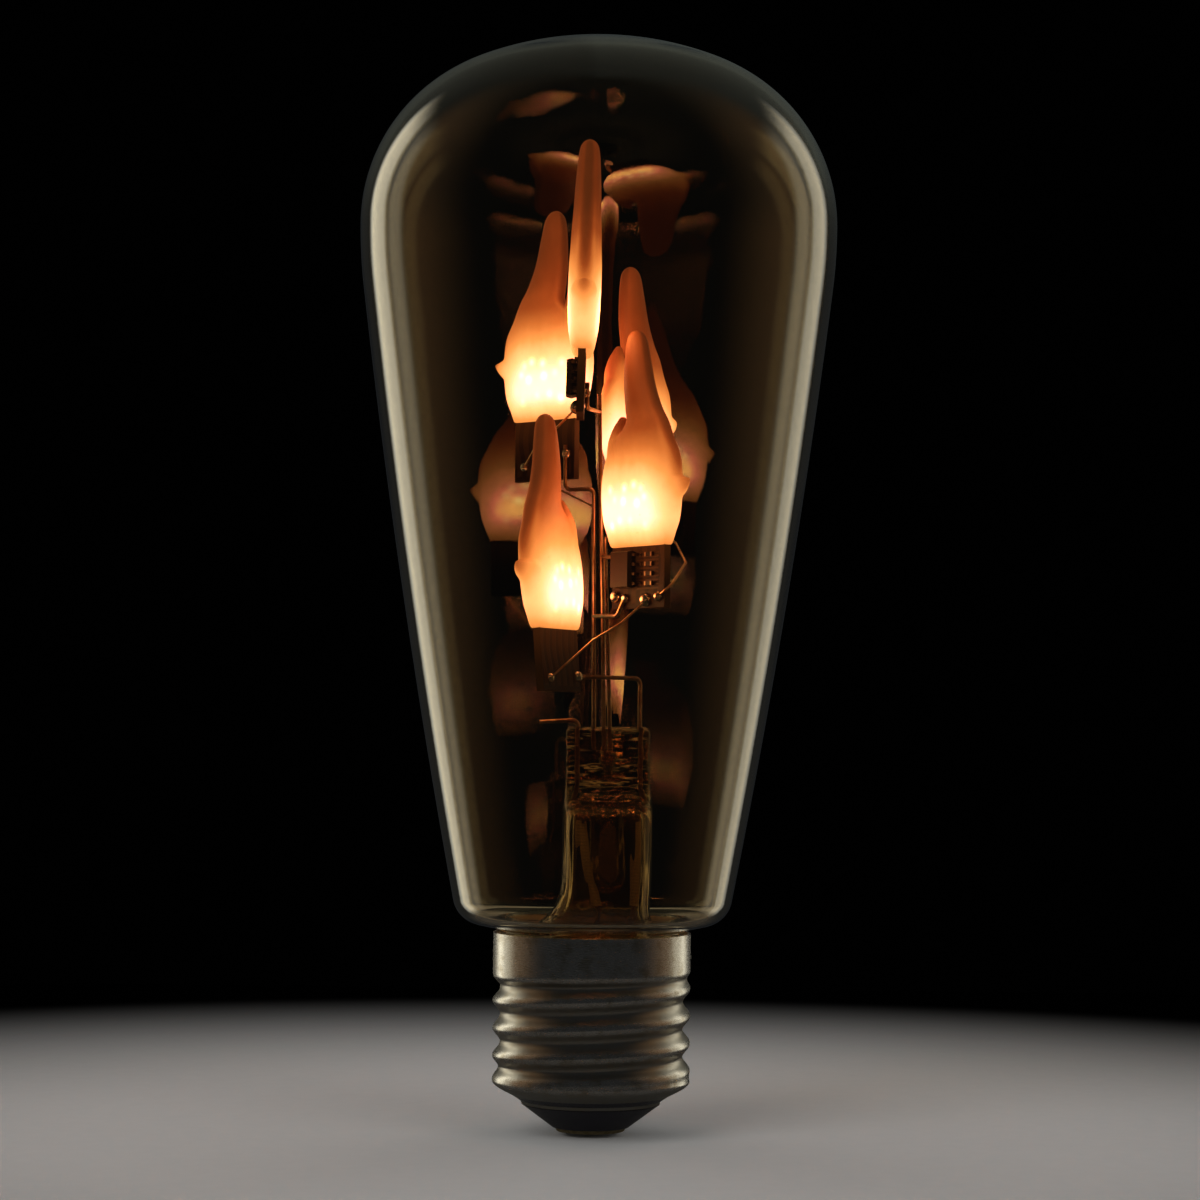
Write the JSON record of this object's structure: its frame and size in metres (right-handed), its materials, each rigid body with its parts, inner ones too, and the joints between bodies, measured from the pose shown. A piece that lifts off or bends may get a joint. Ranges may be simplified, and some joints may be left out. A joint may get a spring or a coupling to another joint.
{
  "type": "led flame bulb",
  "caption": "Clear pear shaped screw-base bulb holding frosted flame shaped LED modules that climb round a bundle of wire posts on a pressed glass stem.",
  "frame": {"origin": "on the bulb's axis at the top edge of the screw shell", "axes": "+Z along the axis from the cap to the dome; -Y is the side that the picture shows"},
  "size_m": [0.064, 0.064, 0.1464],
  "materials": {
    "clear_glass": "clear, faint amber tint",
    "stem_glass": "clear pressed glass",
    "flame_silicone": "frosted translucent silicone, lit from inside",
    "module_laminate": "varnished reddish-brown laminate",
    "led_phosphor": "yellow phosphor, lit",
    "chip_resin": "moulded black resin",
    "resistor_chip": "glazed chip",
    "nickel_wire": "drawn copper-nickel wire",
    "copper_wire": "thin bare copper wire",
    "solder": "bright solder",
    "sleeving": "varnished glass-fibre sleeving",
    "cap_metal": "rolled brass",
    "black_insulator": "black vitreous insulator",
    "contact_metal": "pressed brass",
    "cement": "baked cement",
    "cup_plastic": "white moulded plastic",
    "driver_laminate": "green varnished laminate",
    "capacitor_sleeve": "shrunk black sleeve",
    "resistor_body": "green lacquered body"
  },
  "bodies": {
    "root": {"glass_envelope": "clear_glass", "stem_glass": "stem_glass", "exhaust_tube": "stem_glass", "main_post": "nickel_wire", "rear_post": "nickel_wire", "side_post": "nickel_wire", "left_lead": "nickel_wire", "right_lead": "nickel_wire", "left_sleeve": "sleeving", "right_sleeve": "sleeving", "top_arm": "nickel_wire", "upper_arm": "nickel_wire", "lower_arm": "nickel_wire", "jumper_1_2": "copper_wire", "jumper_2_3": "copper_wire", "jumper_4_post": "copper_wire", "jumper_5_4": "copper_wire", "flame_1": "flame_silicone", "flame_2": "flame_silicone", "flame_3": "flame_silicone", "flame_4": "flame_silicone", "flame_5": "flame_silicone", "board_1": "module_laminate", "board_2": "module_laminate", "board_3": "module_laminate", "board_4": "module_laminate", "board_5": "module_laminate", "leds_1": "led_phosphor", "leds_2": "led_phosphor", "leds_3": "led_phosphor", "leds_4": "led_phosphor", "leds_5": "led_phosphor", "control_chip_1": "chip_resin", "control_chip_2": "chip_resin", "control_chip_3": "chip_resin", "control_chip_4": "chip_resin", "control_chip_5": "chip_resin", "resistors_1": "resistor_chip", "resistors_2": "resistor_chip", "resistors_3": "resistor_chip", "resistors_4": "resistor_chip", "resistors_5": "resistor_chip", "screw_shell": "cap_metal", "cap_insulator": "black_insulator", "centre_contact": "contact_metal", "contact_solder": "solder", "neck_cement": "cement", "driver_cup": "cup_plastic", "driver_board": "driver_laminate", "bridge_rectifier": "chip_resin", "driver_chip": "chip_resin", "filter_capacitor": "capacitor_sleeve", "fusible_resistor": "resistor_body", "contact_wire": "nickel_wire", "shell_wire": "nickel_wire", "solder_1": "solder", "solder_2": "solder", "solder_3": "solder", "solder_4": "solder", "solder_5": "solder"}
  },
  "joints": []
}
